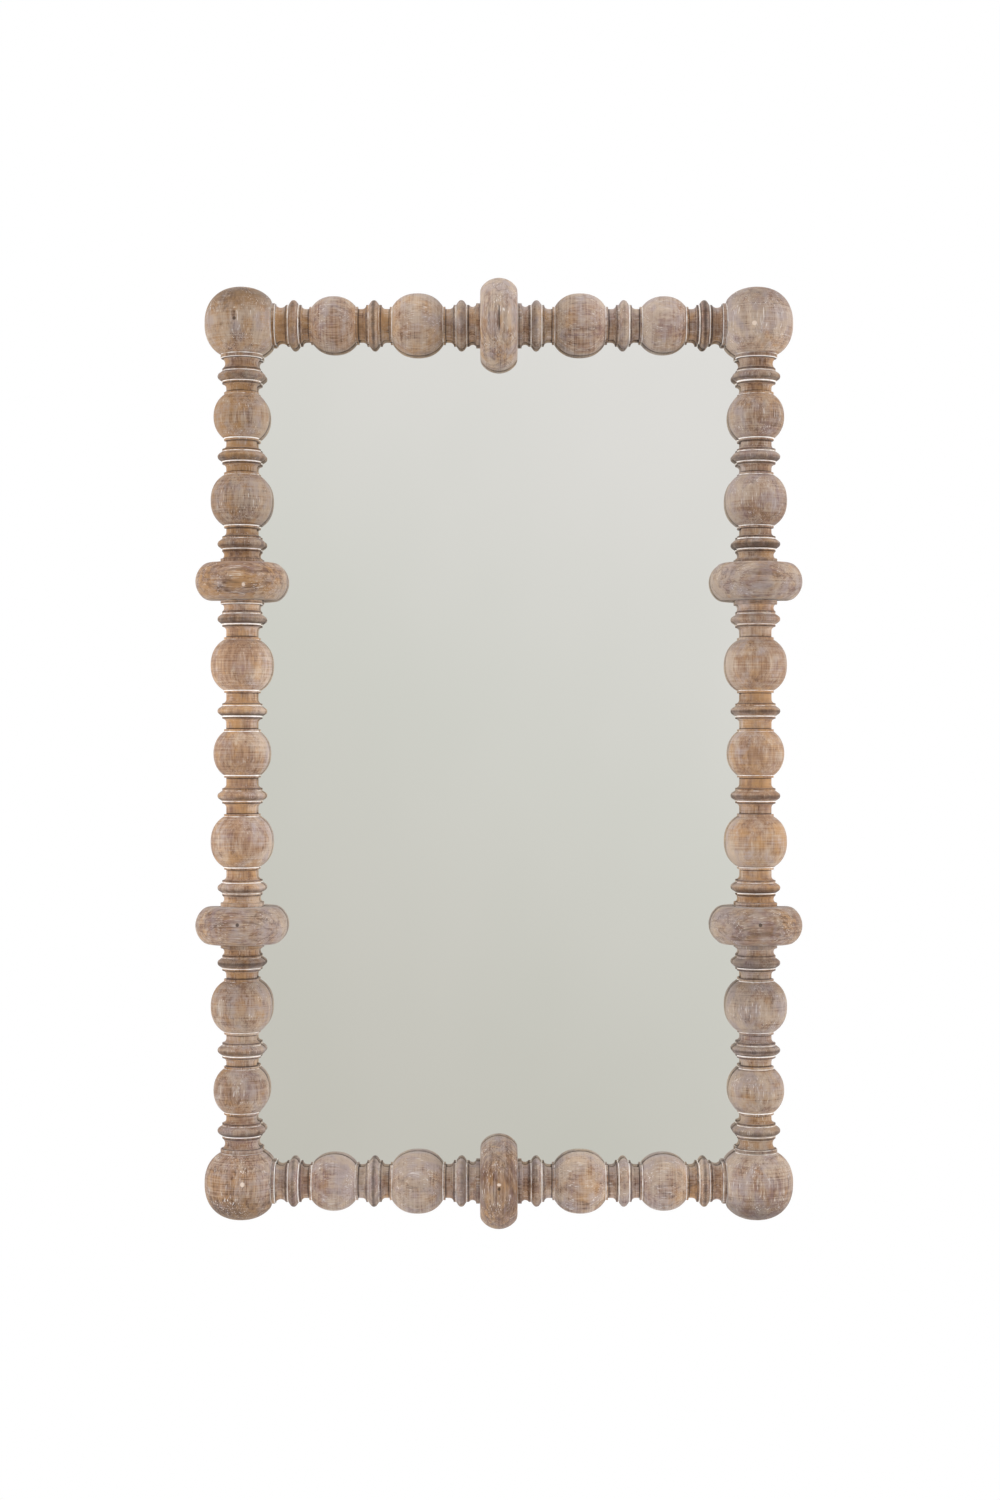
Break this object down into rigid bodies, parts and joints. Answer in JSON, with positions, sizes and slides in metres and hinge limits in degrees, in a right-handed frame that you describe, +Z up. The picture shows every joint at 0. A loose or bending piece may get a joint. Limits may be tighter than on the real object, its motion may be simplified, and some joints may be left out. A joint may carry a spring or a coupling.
{
  "type": "beaded wall mirror",
  "caption": "Portrait wall mirror in a frame of turned lime-washed wood balls, beads and discs, with swinging D-ring hangers recessed into its back panel.",
  "frame": {"origin": "middle of the back panel's rear face, where the mirror lies against the wall", "axes": "+X to the right seen from the front, +Y towards the wall, +Z up"},
  "size_m": [0.6502, 0.0773, 1.0182],
  "materials": {
    "limed_wood": "hand-turned solid wood, brown with a thin whitish wash left in grooves and pores, matt",
    "strip_pine": "plain sawn softwood, unfinished",
    "mirror": "silvered float glass, ground edge",
    "foam": "white double-sided foam tape",
    "board": "brown fibreboard, smooth and matt",
    "hanger_steel": "zinc plated steel",
    "screw_steel": "yellow zinc plated steel"
  },
  "bodies": {
    "mirror_frame": {"corner_ball_bottom_left": "limed_wood", "corner_ball_bottom_right": "limed_wood", "corner_ball_top_left": "limed_wood", "corner_ball_top_right": "limed_wood", "disc_top": "limed_wood", "disc_bottom": "limed_wood", "disc_left_upper": "limed_wood", "disc_left_lower": "limed_wood", "disc_right_upper": "limed_wood", "disc_right_lower": "limed_wood", "spindle_top_left": "limed_wood", "spindle_top_right": "limed_wood", "spindle_bottom_left": "limed_wood", "spindle_bottom_right": "limed_wood", "spindle_left_upper": "limed_wood", "spindle_left_lower": "limed_wood", "spindle_right_upper": "limed_wood", "spindle_right_lower": "limed_wood", "spindle_left_middle": "limed_wood", "spindle_right_middle": "limed_wood", "spacer_strip_top": "strip_pine", "spacer_strip_bottom": "strip_pine", "spacer_strip_left": "strip_pine", "spacer_strip_right": "strip_pine", "mirror_glass": "mirror", "glass_tape": "foam", "back_panel": "board", "frame_screws": "screw_steel", "hanger_strap_left": "hanger_steel", "hanger_strap_right": "hanger_steel", "hanger_screws": "screw_steel"},
    "ring_left": {"hanger_ring_left": "hanger_steel"},
    "ring_right": {"hanger_ring_right": "hanger_steel"}
  },
  "joints": [
    {"name": "ring_left_swing", "type": "hinge", "parent": "mirror_frame", "child": "ring_left", "pos_m": [-0.19, -0.00332, 0.25], "axis": [1, 0, 0], "range_deg": [0, 176]},
    {"name": "ring_right_swing", "type": "hinge", "parent": "mirror_frame", "child": "ring_right", "pos_m": [0.19, -0.00332, 0.25], "axis": [1, 0, 0], "range_deg": [0, 176]}
  ]
}
